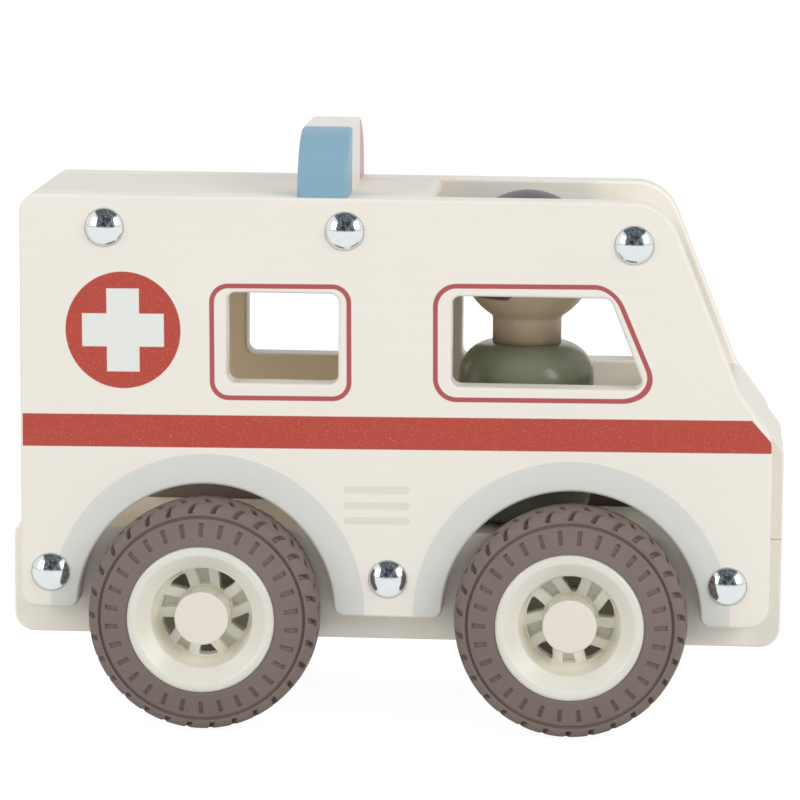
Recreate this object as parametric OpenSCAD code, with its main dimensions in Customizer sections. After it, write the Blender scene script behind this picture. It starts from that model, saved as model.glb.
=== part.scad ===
// A wooden toy ambulance: two painted side boards bolted to a chassis block, a roof block and a cross bar,
// three glued siren blocks, four spoked wheels on two steel axles, and a loose turned figure in the cab.
// The front is +X, the left side is +Y and up is +Z. The origin is on the ground under the middle.

/* [Side boards] */
// Length of each side board
board_l = 185; // [175:1:215]
// Thickness of each side board
board_t = 8; // [6:0.5:12]
// Gap between the two side boards, filled by the blocks
bay_w = 40; // [38:1:60]
// Height of the roof above the ground
roof_z = 131.8; // [128:0.1:150]
// Height of a board's lower edge at the rear
skirt_rear_z = 28.8; // [26:0.1:31]
// Height of a board's lower edge at the front
skirt_front_z = 27; // [25:0.1:31]
// Radius of the rear top corner
rear_top_r = 4.5; // [2:0.5:9]
// Radius of the rear bottom corner
rear_foot_r = 3.5; // [1:0.5:6]
// Radius of the front bottom corner
front_foot_r = 5.5; // [1:0.5:8]
// Radius of the corners where a wheel arch meets the lower edge
arch_foot_r = 2.5; // [1:0.5:4]

/* [Windscreen and hood] */
// Lean of the windscreen edge from upright, in degrees
screen_rake = 22; // [15:0.5:26]
// Radius between the roof and the windscreen edge
screen_top_r = 11; // [5:0.5:14]
// Radius between the windscreen edge and the hood
screen_foot_r = 8; // [3:0.5:12]
// Height of the hood at the windscreen
hood_top_z = 85.7; // [80:0.1:95]
// Length of the hood slope, measured along the ground
hood_run = 8.5; // [5:0.5:14]
// Height of the hood slope at the boards' front edge
hood_front_z = 74.2; // [66:0.1:78]
// Radius between the hood slope and the front edge
hood_front_r = 5; // [2:0.5:7]

/* [Windows] */
// Height of the window sills
sill_z = 85.9; // [78:0.1:92]
// Height of the windows
window_h = 22.4; // [14:0.1:26]
// Radius of the window corners
window_r = 2.2; // [1:0.1:5]
// Length of the rear window
rear_window_l = 27.5; // [18:0.1:34]
// Width of the post between the two windows
window_post_w = 27.7; // [20:0.1:34]
// Front end of a board back to the front window's rear edge
front_window_back = 78.7; // [73:0.1:85]
// Length of the front window along its sill
front_window_l = 47.6; // [36:0.1:52]
// Lean of the front window's front edge from upright, in degrees
window_rake = 22; // [10:0.5:30]

/* [Chassis and blocks] */
// Height of the chassis underside
ground_gap = 20.8; // [14:0.1:24]
// Height of the chassis block
chassis_h = 27.2; // [24:0.1:34]
// How far the chassis stands out past the boards at each end
bumper_out = 3; // [1:0.5:8]
// Radius of the chassis block's lower corners
chassis_foot_r = 5; // [1:0.5:8]
// Radius of the chassis block's rear top corner
chassis_back_r = 2.5; // [1:0.5:8]
// Length of the hood block, from the nose back
hood_block_l = 25.5; // [20:0.5:34]
// Radius of the hood block's top front corner
nose_r = 3; // [1:0.5:5]
// Gap between the roof block and the figure's head
cab_gap = 5.8; // [2:0.1:16]
// Height of the roof block
roof_block_h = 16; // [12:0.5:20]
// Radius of the roof block's front edge
roof_edge_r = 2.5; // [0.5:0.5:5]
// Diameter of the cross bar above the windscreen
bar_d = 7.5; // [6.5:0.5:10]
// Front end of a board back to the cross bar
bar_back = 34.5; // [32:0.1:36]
// Roof down to the cross bar's centre
bar_drop = 10.3; // [9:0.1:14]

/* [Siren] */
// Front end of the roof block back to the siren
siren_back = 20.5; // [5:0.1:60]
// Thickness of the siren, along the roof
siren_t = 12.3; // [8:0.1:16]
// How far the siren's ends sit in from the boards' outer faces
siren_inset = 1; // [0:0.5:6]
// Height of the siren's upright ends
siren_side_h = 1; // [0.5:0.5:8]
// Radius of the siren's round shoulders
siren_r = 15; // [6:0.5:18]
// Length of each coloured end block, across the roof
siren_end_l = 15; // [8:0.5:20]

/* [Bolts] */
// Diameter of a bolt's dome head
bolt_head_d = 9.7; // [7:0.1:13]
// Height of a bolt's dome head
bolt_head_h = 2.4; // [1.8:0.1:4]
// Diameter of a bolt's shank
bolt_d = 4; // [3:0.5:6]
// How deep a bolt reaches into the block behind its board
bolt_grip = 12; // [6:0.5:17]
// Each end of the roof block to its bolt
roof_bolt_inset = 21; // [8:0.1:30]
// Rear end of a board to the rear chassis bolt
foot_bolt_rear_x = 7.4; // [6:0.1:8]
// Front end of a board to the front chassis bolt
foot_bolt_front_x = 10.3; // [7:0.1:11]
// Floor down to the chassis bolts
foot_bolt_drop = 10.4; // [6:0.1:12]

/* [Wheels] */
// Radius of a tyre
tyre_r = 28.7; // [26:0.1:30]
// Width of a tyre at its shoulders
tyre_w = 15.8; // [12:0.1:20]
// Radius of a tyre's shoulders
shoulder_r = 2.2; // [1.5:0.1:3]
// Fall of the tread from its middle to a shoulder
crown_drop = 0.9; // [0.3:0.1:1.5]
// How far a tyre's outer side wall swells past its shoulder
wall_swell = 1.8; // [0.5:0.1:3]
// Tread grooves in each of a tyre's four rows
groove_count = 30; // [12:1:36]
// Width of a tread groove
groove_w = 1.2; // [0.8:0.1:2]
// Depth of a tread groove
groove_depth = 1.4; // [0.8:0.1:2.2]
// Lean of a tread groove from the axle's direction, in degrees
groove_lean = 24; // [0:1:30]
// Gap between a tyre and the wheel arch
arch_gap = 3.05; // [2:0.05:5]
// Gap between a tyre and the chassis block
wheel_gap = 1.5; // [1:0.1:4]
// Radius of a rim, where its tyre sits
rim_r = 18.2; // [16:0.1:20]
// Radius of the dish in a rim
dish_r = 12.6; // [11:0.1:14]
// Radius of a hub and its cap
hub_r = 6.6; // [6:0.1:7.2]
// Pairs of spokes in a rim
spoke_pairs = 5; // [3:1:5]
// Width of a spoke
spoke_w = 2.4; // [1.5:0.1:2.6]
// Width of the pocket between the two spokes of a pair, at the hub
pocket_hub_w = 2.5; // [1.5:0.1:2.6]
// Width of the pocket between the two spokes of a pair, at the rim
pocket_rim_w = 3.4; // [1.5:0.1:4]
// Sweep of the spokes from the hub to the rim, in degrees
spoke_sweep = 5; // [0:0.5:12]
// Diameter of an axle
axle_d = 5; // [3:0.5:6]
// Length of a board behind the rear wheel arch
rear_land = 14.25; // [12:0.05:20]
// Length of a board in front of the front wheel arch
front_land = 16.85; // [14:0.05:20]
// Turn of the rear wheels, in degrees
rear_wheel_turn = 54; // [0:0.1:72]
// Turn of the front wheels, in degrees
front_wheel_turn = 12.5; // [0:0.1:72]

/* [Figure] */
// Radius of the figure's body
figure_r = 16.9; // [14:0.1:18]
// Height of the figure's body
figure_body_h = 45.2; // [38:0.1:50]
// Radius of the figure's shoulders
figure_shoulder_r = 8.5; // [4:0.1:9]
// Radius of the figure's rounded foot
figure_foot_r = 8; // [1:0.5:9]
// Radius of the figure's neck
neck_r = 8.6; // [5:0.1:10]
// Radius of the figure's head
head_r = 16.9; // [13:0.1:18]
// Height of the head's centre above the body
neck_rise = 21.1; // [18:0.1:26]
// Front end of a board back to the figure's middle
figure_back = 61.3; // [58:0.1:64]

/* [Hidden] */
$fn = 64;

// Clearances: cuts run past faces, a running shaft, a pressed or glued fit, loose pieces side by side
overrun = 1;
running_gap = 0.05;
press_gap = 0.02;
loose_gap = 0.3;
// Straight pieces in each rounded corner
corner_steps = 8;
// Which side of the middle a piece is on
right_side = -1;
left_side = 1;

// Places along the length
rear_x = -board_l / 2;
front_x = board_l / 2;
tail_x = rear_x - bumper_out;
nose_x = front_x + bumper_out;
arch_r = tyre_r + arch_gap;
rear_axle_x = rear_x + rear_land + arch_r;
front_axle_x = front_x - front_land - arch_r;
screen_foot_x = front_x - hood_run;
screen_top_x = screen_foot_x - (roof_z - hood_top_z) * tan(screen_rake);
hood_block_x = nose_x - hood_block_l;
bar_x = front_x - bar_back;
figure_x = front_x - figure_back;
roof_front_x = figure_x - head_r - cab_gap;
siren_x = roof_front_x - siren_back - siren_t;
front_window_x = front_x - front_window_back;
rear_window_x = front_window_x - window_post_w - rear_window_l;

// Places up the height
axle_z = tyre_r;
floor_z = ground_gap + chassis_h;
foot_bolt_z = floor_z - foot_bolt_drop;
roof_bolt_z = roof_z - roof_block_h / 2;
bar_z = roof_z - bar_drop;
hood_slope = (hood_top_z - hood_front_z) / hood_run;
nose_z = hood_front_z - hood_slope * bumper_out;

// Places across the width
body_w = bay_w + 2 * board_t;
siren_w = body_w - 2 * siren_inset;
siren_h = siren_side_h + siren_r;
siren_split = siren_w / 2 - siren_end_l;
wheel_mid = bay_w / 2 + wheel_gap + tyre_w / 2;

// Bolts: [x, z] of each, the same on both sides
bolt_places = [
    [rear_x + roof_bolt_inset, roof_bolt_z], [roof_front_x - roof_bolt_inset, roof_bolt_z], [bar_x, bar_z],
    [rear_x + foot_bolt_rear_x, foot_bolt_z], [(rear_axle_x + front_axle_x) / 2, foot_bolt_z],
    [front_x - foot_bolt_front_x, foot_bolt_z]];
dome_r = (bolt_head_d * bolt_head_d / 4 + bolt_head_h * bolt_head_h) / (2 * bolt_head_h);

// Tyre: heights are along the axle, outwards from the tyre's middle plane
shoulder_z = tyre_w / 2;
crown_slope = atan(crown_drop / shoulder_z);
crown_r = 14;
crown_peak = tyre_r + crown_r / cos(crown_slope) - crown_r;
ring_r = tyre_r - crown_drop - shoulder_r;
bead_land = 0.8;
wall_lip_r = 0.6;
wall_z = shoulder_z + wall_swell;
ring_groove_w = 0.7;
ring_groove_depth = 0.6;
wall_foot_r = ring_r - ring_groove_w;
wall_tilt = atan(wall_swell / (wall_foot_r - rim_r - bead_land));
// Tread rows: two each side of the middle, with a land beside each
row_z = shoulder_z / 2;
row_land = 0.5;
row_floor_r = tyre_r - crown_drop / 2 - groove_depth;
row_tilt = atan((row_floor_r - ring_r - row_land) / row_z);
// Slots in the outer side wall, standing in from the shoulder ring
slot_inset = 1.65;
slot_l = 3.3;
slot_in_r = ring_r - slot_inset - slot_l;
slot_w = 1.1;
slot_depth = 0.5;

// Rim: heights as on the tyre
lip_h = 0.7;
lip_w = 2;
lip_r = 0.9;
lip_top_z = wall_z + lip_h;
dish_edge_inset = 0.6;
dish_edge_z = shoulder_z - dish_edge_inset;
dish_draft = 1.4;
dish_depth = 7.5;
dish_edge_r = 0.8;
barrel_t = 2.2;
web_t = 4.3;
pocket_depth = 2.6;
spoke_z = dish_edge_z - dish_depth;
web_back_z = spoke_z - web_t;
web_r = dish_r - dish_draft;
hub_face_inset = 0.4;
hub_face_z = shoulder_z - hub_face_inset;
hub_back_z = -(shoulder_z + wheel_gap - loose_gap);
hub_wall = 0.4;
gap_land = 0.3;
hole_r = 1.3;
pocket_r = 0.6;
cap_t = 0.9;
cap_stem_l = 3;
axle_bore_r = axle_d / 2 + press_gap;
axle_end = wheel_mid + hub_face_z - cap_stem_l - loose_gap;

// Figure: heights are above its base
peg_r = 4;
peg_l = 12;
head_rise = figure_body_h + neck_rise;
figure_z = floor_z + loose_gap;

function unit(v) = v / norm(v);

// Arc that rounds the corner at here, between its neighbours before and after
function corner_arc(before, here, after, r) =
    let (
        a = unit(before - here),
        b = unit(after - here),
        half = acos(a * b) / 2,
        middle = here + unit(a + b) * r / sin(half),
        first = here + a * r / tan(half) - middle,
        last = here + b * r / tan(half) - middle,
        start = atan2(first.y, first.x),
        turn = (atan2(last.y, last.x) - start + 540) % 360 - 180
    )
    [for (k = [0 : corner_steps])
        let (angle = start + turn * k / corner_steps)
        middle + r * [cos(angle), sin(angle)]];

// Outline through corners given as [x, y, radius]
function rounded(corners) =
    let (n = len(corners), points = [for (c = corners) [c.x, c.y]])
    [for (i = [0 : n - 1])
        each corners[i].z <= 0
            ? [points[i]]
            : corner_arc(points[(i + n - 1) % n], points[i], points[(i + 1) % n], corners[i].z)];

// Places along the swept spokes, by their share of the way from the hub to the dish's wall
function gap_r(share) = hub_r + hub_wall + (web_r - gap_land - hub_r - hub_wall) * share;
function pocket_half(share) = (pocket_hub_w + (pocket_rim_w - pocket_hub_w) * share) / 2;
function pocket_reach(share) = asin(pocket_half(share) / gap_r(share));
function hole_reach(share) = 180 / spoke_pairs - asin((pocket_half(share) + spoke_w) / gap_r(share));
function swept(share, angle) =
    let (turned = angle + spoke_sweep * share)
    gap_r(share) * [cos(turned), sin(turned)];

// Gap between two spokes: its middle leaves the hub at an angle, and its outer corners are rounded
function gap_outline(angle, hub_reach, rim_reach, r) = rounded([
    [each swept(0, angle - hub_reach), 0], [each swept(1, angle - rim_reach), r],
    [each swept(1, angle + rim_reach), r], [each swept(0, angle + hub_reach), 0]]);
function hole_outline(angle) = gap_outline(angle, hole_reach(0), hole_reach(1), hole_r);
function pocket_outline(angle) = gap_outline(angle, pocket_reach(0), pocket_reach(1), pocket_r);

// A profile drawn in X and Z, given a width across the middle
module upright(width) {
    rotate([90, 0, 0]) linear_extrude(width, center = true) children();
}

// A bore or bar across the whole width
module crosswise(x, z, d, length) {
    translate([x, 0, z]) rotate([90, 0, 0]) cylinder(d = d, h = length, center = true);
}

// Stand a wheel piece, made with its outer face up, at one end of an axle
module at_wheel(x, side, turn) {
    translate([x, side * wheel_mid, axle_z]) rotate([-90 * side, 0, 0]) rotate([0, 0, turn]) children();
}

// The corner taken off a board beside a wheel arch: a square less its inscribed quarter circle
module arch_corner(x, z, way) {
    cut = arch_foot_r + overrun;
    translate([x, z]) difference() {
        translate([way > 0 ? -overrun : -arch_foot_r, -overrun]) square([cut, cut]);
        translate([way * arch_foot_r, arch_foot_r]) circle(arch_foot_r);
    }
}

// A window with an upright rear edge and a leaning front edge
module window(back, length, rake) {
    head_z = sill_z + window_h;
    head_l = length - window_h * tan(rake);
    polygon(rounded([
        [back, sill_z, window_r], [back, head_z, window_r],
        [back + head_l, head_z, window_r], [back + length, sill_z, window_r]]));
}

function skirt_z(x) = skirt_rear_z + (skirt_front_z - skirt_rear_z) * (x - rear_x) / board_l;

// One flat side: the outline of an ambulance, with windows, wheel arches and bolt holes
module side_board(side) {
    color("#ece7de") translate([0, side * (bay_w + board_t) / 2, 0]) difference() {
        upright(board_t) difference() {
            polygon(rounded([
                [rear_x, skirt_rear_z, rear_foot_r], [rear_x, roof_z, rear_top_r],
                [screen_top_x, roof_z, screen_top_r], [screen_foot_x, hood_top_z, screen_foot_r],
                [front_x, hood_front_z, hood_front_r], [front_x, skirt_front_z, front_foot_r]]));
            window(rear_window_x, rear_window_l, 0);
            window(front_window_x, front_window_l, window_rake);
            for (x = [rear_axle_x, front_axle_x]) {
                translate([x, axle_z]) circle(arch_r);
                for (way = [-1, 1]) arch_corner(x + way * arch_r, skirt_z(x + way * arch_r), way);
            }
        }
        for (place = bolt_places)
            crosswise(place.x, place.y, bolt_d + 2 * press_gap, board_t + 2 * overrun);
    }
}

// Blind holes for the bolts that come in through both boards
module bolt_holes() {
    for (place = bolt_places, side = [right_side, left_side])
        translate([place.x, side * (bay_w / 2 - (bolt_grip + press_gap) / 2 + overrun / 2), place.y])
            rotate([90, 0, 0])
                cylinder(d = bolt_d + 2 * press_gap, h = bolt_grip + press_gap + overrun, center = true);
}

module side_board_right() side_board(right_side);
module side_board_left() side_board(left_side);

// The thick floor that carries the axles and both boards, standing out as a bumper at each end
module chassis_block() {
    color("#e6e0d4") difference() {
        upright(bay_w) polygon(rounded([
            [tail_x, ground_gap, chassis_foot_r], [tail_x, floor_z, chassis_back_r],
            [nose_x, floor_z, 0], [nose_x, ground_gap, chassis_foot_r]]));
        for (x = [rear_axle_x, front_axle_x])
            crosswise(x, axle_z, axle_d + 2 * running_gap, bay_w + 2 * overrun);
        bolt_holes();
    }
}

// The block between the boards' noses, glued on the chassis and sloped like their edges
module hood_block() {
    color("#e6e0d4") upright(bay_w) polygon(rounded([
        [hood_block_x, floor_z, 0], [hood_block_x, hood_top_z, 0], [screen_foot_x, hood_top_z, 0],
        [nose_x, nose_z, nose_r], [nose_x, floor_z, 0]]));
}

// The roof over the loading bay, ending behind the open cab
module roof_block() {
    color("#e6e0d4") difference() {
        upright(bay_w) polygon(rounded([
            [rear_x, roof_z - roof_block_h, 0], [rear_x, roof_z, rear_top_r],
            [roof_front_x, roof_z, roof_edge_r], [roof_front_x, roof_z - roof_block_h, 0]]));
        bolt_holes();
    }
}

// The round bar that holds the boards apart above the windscreen
module cross_bar() {
    color("#e6e0d4") difference() {
        crosswise(bar_x, bar_z, bar_d, bay_w);
        bolt_holes();
    }
}

// The siren's round-shouldered outline across the roof, cut to one block's stretch of the width
module siren_block(from, to) {
    translate([siren_x, 0, roof_z]) rotate([90, 0, 90]) linear_extrude(siren_t) intersection() {
        translate([from, 0]) square([to - from, siren_h]);
        polygon(rounded([
            [-siren_w / 2, 0, 0], [siren_w / 2, 0, 0], [siren_w / 2, siren_h, siren_r],
            [-siren_w / 2, siren_h, siren_r]]));
    }
}

module siren_blue_block() color("#85a9bd") siren_block(-siren_w / 2, -siren_split);
module siren_white_block() color("#e8e4dc") siren_block(-siren_split, siren_split);
module siren_red_block() color("#b9878c") siren_block(siren_split, siren_w / 2);

// A bolt with a smooth dome head, its shank through a board and into the block behind
module dome_bolt() {
    cylinder(d = bolt_d, h = board_t + bolt_grip);
    intersection() {
        translate([0, 0, dome_r - bolt_head_h]) sphere(dome_r);
        translate([0, 0, -bolt_head_h]) cylinder(d = 2 * bolt_head_d, h = bolt_head_h);
    }
}

module dome_bolts(side) {
    color("#c4ccd2") for (place = bolt_places)
        translate([place.x, side * body_w / 2, place.y]) rotate([90 * side, 0, 0]) dome_bolt();
}

module dome_bolts_right() dome_bolts(right_side);
module dome_bolts_left() dome_bolts(left_side);

// A steel rod through the chassis, pressed into the hubs of both its wheels
module axle(x) {
    color("#b4b8bc") crosswise(x, axle_z, axle_d, 2 * axle_end);
}

module front_axle() axle(front_axle_x);
module rear_axle() axle(rear_axle_x);

// One slanted groove of the tread, from a height along the axle outwards
module tread_groove(from, floor_r, reach, lean, tilt) {
    translate([floor_r, 0, from]) rotate([-lean, 0, 0]) rotate([0, -tilt, 0])
        translate([0, -groove_w / 2, 0]) cube([2 * groove_depth + shoulder_r, groove_w, reach]);
}

module crown_groove() {
    tread_groove(row_land / 2, tyre_r - groove_depth, row_z - row_land / 2, -groove_lean, crown_slope);
}

module shoulder_groove() {
    tread_groove(row_z + row_land / 2, row_floor_r, tyre_w, groove_lean, row_tilt);
}

// One radial slot sunk in the outer side wall
module wall_slot() {
    slot_z = wall_z - (slot_in_r - rim_r - bead_land) * tan(wall_tilt);
    translate([slot_in_r, 0, slot_z]) rotate([0, wall_tilt, 0])
        translate([0, -slot_w / 2, -slot_depth]) cube([slot_l, slot_w, slot_depth + overrun]);
}

// A rubber tyre with its outer side up: a swollen side wall, a grooved ring and a zigzag tread
module tyre() {
    color("#82736b") difference() {
        rotate_extrude() polygon(rounded([
            [rim_r, -shoulder_z, 0], [crown_peak - crown_drop, -shoulder_z, shoulder_r],
            [crown_peak, 0, crown_r], [crown_peak - crown_drop, shoulder_z, shoulder_r],
            [wall_foot_r, shoulder_z, 0], [rim_r + bead_land, wall_z, wall_lip_r], [rim_r, wall_z, 0]]));
        rotate_extrude() translate([wall_foot_r, shoulder_z - ring_groove_depth])
            square([ring_groove_w, ring_groove_depth + wall_swell]);
        for (i = [0 : groove_count - 1]) {
            rotate([0, 0, 360 * i / groove_count]) {
                shoulder_groove();
                mirror([0, 0, 1]) crown_groove();
                wall_slot();
            }
            rotate([0, 0, 360 * (i + 0.5) / groove_count]) {
                crown_groove();
                mirror([0, 0, 1]) shoulder_groove();
            }
        }
    }
}

// A moulded rim with its outer side up: lip, dish, paired spokes with holes between the pairs, and hub
module rim() {
    color("#f0ede6") difference() {
        rotate_extrude() polygon(rounded([
            [rim_r - press_gap, -shoulder_z, 0], [rim_r - press_gap, lip_top_z, lip_r],
            [rim_r - lip_w, lip_top_z, lip_r], [dish_r, dish_edge_z, dish_edge_r], [web_r, spoke_z, 0],
            [hub_r, spoke_z, 0], [hub_r, hub_face_z, 0], [axle_bore_r, hub_face_z, 0],
            [axle_bore_r, hub_back_z, 0], [hub_r, hub_back_z, 0], [hub_r, web_back_z, 0],
            [rim_r - barrel_t, web_back_z, 0], [rim_r - barrel_t, -shoulder_z, 0]]));
        for (i = [0 : spoke_pairs - 1]) {
            translate([0, 0, web_back_z - overrun]) linear_extrude(web_t + 2 * overrun)
                polygon(hole_outline(360 * i / spoke_pairs));
            translate([0, 0, spoke_z - pocket_depth]) linear_extrude(pocket_depth + overrun)
                polygon(pocket_outline(360 * (i + 0.5) / spoke_pairs));
        }
    }
}

// A flat cap over the axle's end, with a stem in the hub's bore
module hub_cap() {
    color("#e4dfd3") {
        translate([0, 0, hub_face_z]) cylinder(r = hub_r, h = cap_t);
        translate([0, 0, hub_face_z - cap_stem_l]) cylinder(r = axle_d / 2, h = cap_stem_l);
    }
}

module front_right_tyre() at_wheel(front_axle_x, right_side, front_wheel_turn) tyre();
module front_right_rim() at_wheel(front_axle_x, right_side, front_wheel_turn) rim();
module front_right_hub_cap() at_wheel(front_axle_x, right_side, front_wheel_turn) hub_cap();
module front_left_tyre() at_wheel(front_axle_x, left_side, front_wheel_turn) tyre();
module front_left_rim() at_wheel(front_axle_x, left_side, front_wheel_turn) rim();
module front_left_hub_cap() at_wheel(front_axle_x, left_side, front_wheel_turn) hub_cap();
module rear_right_tyre() at_wheel(rear_axle_x, right_side, rear_wheel_turn) tyre();
module rear_right_rim() at_wheel(rear_axle_x, right_side, rear_wheel_turn) rim();
module rear_right_hub_cap() at_wheel(rear_axle_x, right_side, rear_wheel_turn) hub_cap();
module rear_left_tyre() at_wheel(rear_axle_x, left_side, rear_wheel_turn) tyre();
module rear_left_rim() at_wheel(rear_axle_x, left_side, rear_wheel_turn) rim();
module rear_left_hub_cap() at_wheel(rear_axle_x, left_side, rear_wheel_turn) hub_cap();

// A turned body with round shoulders, drilled for the head's peg
module figure_body() {
    color("#98a287") translate([figure_x, 0, figure_z]) difference() {
        rotate_extrude() polygon(rounded([
            [0, 0, 0], [figure_r, 0, figure_foot_r], [figure_r, figure_body_h, figure_shoulder_r],
            [0, figure_body_h, 0]]));
        translate([0, 0, figure_body_h - peg_l - loose_gap])
            cylinder(r = peg_r + press_gap, h = peg_l + loose_gap + overrun);
    }
}

// A ball head on a round neck, with a peg that is glued into the body
module figure_head() {
    color("#e6cdac") translate([figure_x, 0, figure_z]) {
        translate([0, 0, head_rise]) sphere(head_r);
        translate([0, 0, figure_body_h]) cylinder(r = neck_r, h = neck_rise);
        translate([0, 0, figure_body_h - peg_l]) cylinder(r = peg_r, h = peg_l + overrun);
    }
}

side_board_right();
side_board_left();
chassis_block();
hood_block();
roof_block();
cross_bar();
siren_blue_block();
siren_white_block();
siren_red_block();
dome_bolts_right();
dome_bolts_left();
front_axle();
front_right_tyre();
front_right_rim();
front_right_hub_cap();
front_left_tyre();
front_left_rim();
front_left_hub_cap();
rear_axle();
rear_right_tyre();
rear_right_rim();
rear_right_hub_cap();
rear_left_tyre();
rear_left_rim();
rear_left_hub_cap();
figure_body();
figure_head();
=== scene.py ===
from math import asin, atan2, cos, degrees, pi, radians, sin, sqrt, tan

import bmesh
import bpy
from mathutils import Matrix, Quaternion, Vector


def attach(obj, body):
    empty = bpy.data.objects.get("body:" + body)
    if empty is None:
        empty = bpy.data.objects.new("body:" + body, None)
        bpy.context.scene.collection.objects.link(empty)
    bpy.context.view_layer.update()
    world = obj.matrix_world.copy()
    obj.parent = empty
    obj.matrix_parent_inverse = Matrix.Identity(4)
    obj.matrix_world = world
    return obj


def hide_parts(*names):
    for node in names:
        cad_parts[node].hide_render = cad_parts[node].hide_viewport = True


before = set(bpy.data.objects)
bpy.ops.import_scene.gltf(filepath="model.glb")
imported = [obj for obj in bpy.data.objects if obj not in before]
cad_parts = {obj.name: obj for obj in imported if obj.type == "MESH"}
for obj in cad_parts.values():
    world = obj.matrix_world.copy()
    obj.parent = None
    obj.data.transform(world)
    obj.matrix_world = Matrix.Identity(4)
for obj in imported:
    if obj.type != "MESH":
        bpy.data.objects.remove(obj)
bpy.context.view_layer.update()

bpy.context.scene.view_settings.view_transform = "Standard"

# The camera stands a metre off the right side, a little towards the front and above the roof.
# It has a long lens and a slight roll. Sizes in this file are in millimetres, and MM makes them metres.
MM = 0.001
camera_aim, camera_reach = Vector((-0.552, 0, 77.83)) * MM, 1055.43
camera_az, camera_el, camera_roll = radians(3.8886), radians(9.393), radians(0.4674)
camera_way = Vector((sin(camera_az) * cos(camera_el), -cos(camera_az) * cos(camera_el), sin(camera_el)))
camera = bpy.data.objects.new("camera", bpy.data.cameras.new("camera"))
camera.data.lens, camera.data.sensor_width = 188.748, 36
camera.location = camera_aim + camera_way * camera_reach * MM
camera.rotation_euler = (
    (-camera_way).to_track_quat("-Z", "Y") @ Quaternion((0, 0, 1), camera_roll)).to_euler()
bpy.context.collection.objects.link(camera)
bpy.context.scene.camera = camera


# The chassis is one thick plank of beech, rounded at its edges and sprayed cream. It carries both axles
# and every other piece, and stands out past the side boards as a bumper at each end.
class Field:
    """A number, colour or vector over a surface. Sums of numbers become Math nodes."""

    def __init__(self, tree, socket=None):
        self.tree, self.socket = tree, socket

    def node(self, kind, settings, inputs, output=0):
        made = self.tree.nodes.new(kind)
        for name, value in settings.items():
            setattr(made, name, value)
        for name, value in inputs.items():
            if isinstance(value, Field):
                self.tree.links.new(value.socket, made.inputs[name])
            else:
                made.inputs[name].default_value = value
        return Field(self.tree, made.outputs[output])

    def math(self, operation, *values):
        return self.node("ShaderNodeMath", {"operation": operation}, dict(enumerate(values)))

    def __add__(self, other):
        return self.math("ADD", self, other)

    def __sub__(self, other):
        return self.math("SUBTRACT", self, other)

    def __rsub__(self, other):
        return self.math("SUBTRACT", other, self)

    def __mul__(self, other):
        return self.math("MULTIPLY", self, other)

    def __truediv__(self, other):
        return self.math("DIVIDE", self, other)

    def __abs__(self):
        return self.math("ABSOLUTE", self)

    __radd__ = __add__
    __rmul__ = __mul__

    def least(self, other):
        return self.math("MINIMUM", self, other)

    def most(self, other):
        return self.math("MAXIMUM", self, other)

    def above(self, other):
        """1 where this is the greater."""
        return self.math("GREATER_THAN", self, other)

    def root(self):
        return self.math("SQRT", self)

    def ramp(self, start, end):
        """0 where this is start, 1 where it is end, and a soft step between."""
        return self.node("ShaderNodeMapRange", {"interpolation_type": "SMOOTHSTEP"},
                         {"Value": self, "From Min": start, "From Max": end})

    def split(self):
        """The three parts of a vector."""
        return [self.node("ShaderNodeSeparateXYZ", {}, {0: self}, axis) for axis in range(3)]

    def stretched(self, x, y, z):
        return self.node("ShaderNodeVectorMath", {"operation": "MULTIPLY"}, {0: self, 1: (x, y, z)})

    def noise(self, scale, detail=2.0):
        return self.node("ShaderNodeTexNoise", {}, {"Vector": self, "Scale": scale, "Detail": detail})

    def mix(self, first, second):
        """Two colours mixed by this mask."""
        return self.node("ShaderNodeMix", {"data_type": "RGBA"}, {0: self, 6: first, 7: second}, 2)

    def bump(self, height):
        """The surface's normal, with this as its relief, of a height in millimetres."""
        return self.node("ShaderNodeBump", {}, {"Distance": height * MM, "Height": self}, "Normal")


def srgb(*levels):
    """A colour's levels from 0 to 255, as a shader takes them."""
    shares = [level / 255 for level in levels]
    return tuple(s / 12.92 if s <= 0.04045 else ((s + 0.055) / 1.055) ** 2.4 for s in shares) + (1,)


def new_finish(name):
    """A new material, its shader, and the place on the piece in millimetres."""
    material = bpy.data.materials.new(name)
    material.use_nodes = True
    tree = material.node_tree
    place = Field(tree).node("ShaderNodeTexCoord", {}, {}, "Object")
    return material, tree.nodes["Principled BSDF"], place.stretched(1 / MM, 1 / MM, 1 / MM)


def feed(shader, **sockets):
    """Set or link the shader's sockets."""
    for name, value in sockets.items():
        socket = shader.inputs[name.replace("_", " ").title()]
        if isinstance(value, Field):
            value.tree.links.new(value.socket, socket)
        else:
            socket.default_value = value


def spray_paint(shader, place, tint, gloss=0.5):
    """Sprayed paint over beech: soft clouds, a fine orange peel and a trace of the grain."""
    peel, gloss_spread = 0.03, 0.12
    clouds = place.noise(0.035, 3.0)
    grain = place.stretched(0.05, 1, 1).noise(0.8, 3.0)
    specks = place.noise(1.6, 2.0)
    shade = 0.955 + 0.05 * clouds + 0.025 * grain
    shaded = place.node("ShaderNodeMix", {"data_type": "RGBA", "blend_type": "MULTIPLY"},
                        {0: 1.0, 6: tint, 7: shade}, 2)
    feed(shader, base_color=shaded, roughness=gloss - gloss_spread / 2 + gloss_spread * specks,
         normal=(specks * 0.6 + grain * 0.4).bump(peel))
    shader.inputs["Specular IOR Level"].default_value = 0.4


def round_corner(bm, spot, r):
    """Round the outline at one of its corners."""
    before, after = [edge.other_vert(spot).co - spot.co for edge in spot.link_edges]
    run = r / tan(before.angle(after) / 2)
    bmesh.ops.bevel(bm, geom=[spot], offset=run, offset_type="ABSOLUTE", affect="VERTICES", segments=8,
                    profile=0.5, material=-1)


def only_verts(geom):
    """The corners among an operator's results."""
    return [part for part in geom if isinstance(part, bmesh.types.BMVert)]


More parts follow.
